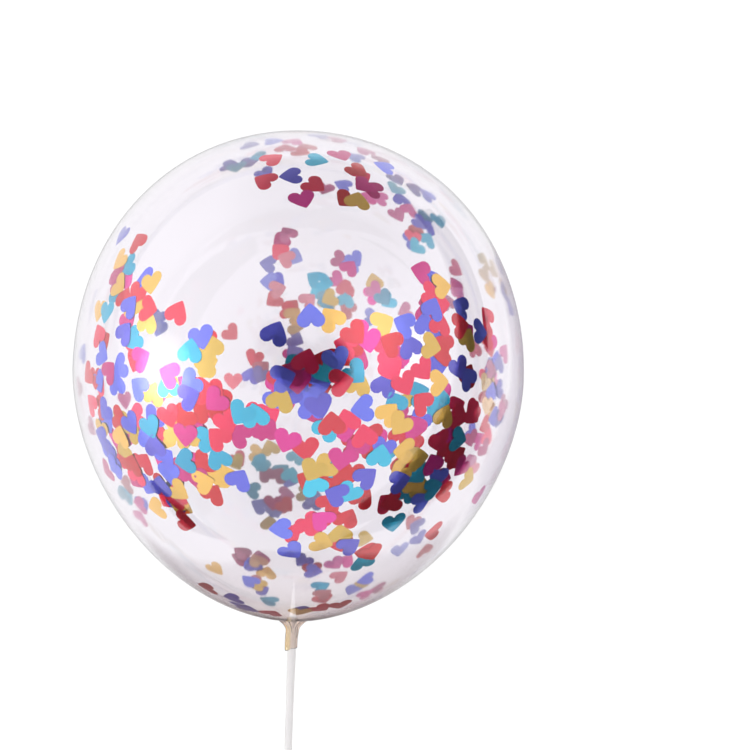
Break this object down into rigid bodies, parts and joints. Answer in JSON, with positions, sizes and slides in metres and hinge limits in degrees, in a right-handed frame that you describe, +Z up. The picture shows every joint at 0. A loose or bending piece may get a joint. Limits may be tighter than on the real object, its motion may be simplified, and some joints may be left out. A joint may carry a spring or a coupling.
{
  "type": "clear confetti balloon on a stick",
  "caption": "Round clear latex balloon holding heart-shaped foil confetti, its neck pulled over a thin plastic stick, lying on its side.",
  "frame": {"origin": "middle of the footprint, on the floor that the balloon lies on", "axes": "+Z up; +Y along the floor from the stick's far end towards the balloon's crown; +X to the right when seen from above with the crown at the top"},
  "size_m": [0.285, 0.5898, 0.2857],
  "materials": {
    "clear_latex": "clear stretched latex film, glossy",
    "translucent_plastic": "milky translucent extruded tube",
    "foil_blue": "metallised film, bright",
    "foil_red": "metallised film, bright",
    "foil_magenta": "metallised film, bright",
    "foil_cyan": "metallised film, bright",
    "foil_gold": "metallised film, bright"
  },
  "bodies": {
    "root": {"balloon": "clear_latex", "stick": "translucent_plastic"}
  },
  "joints": []
}
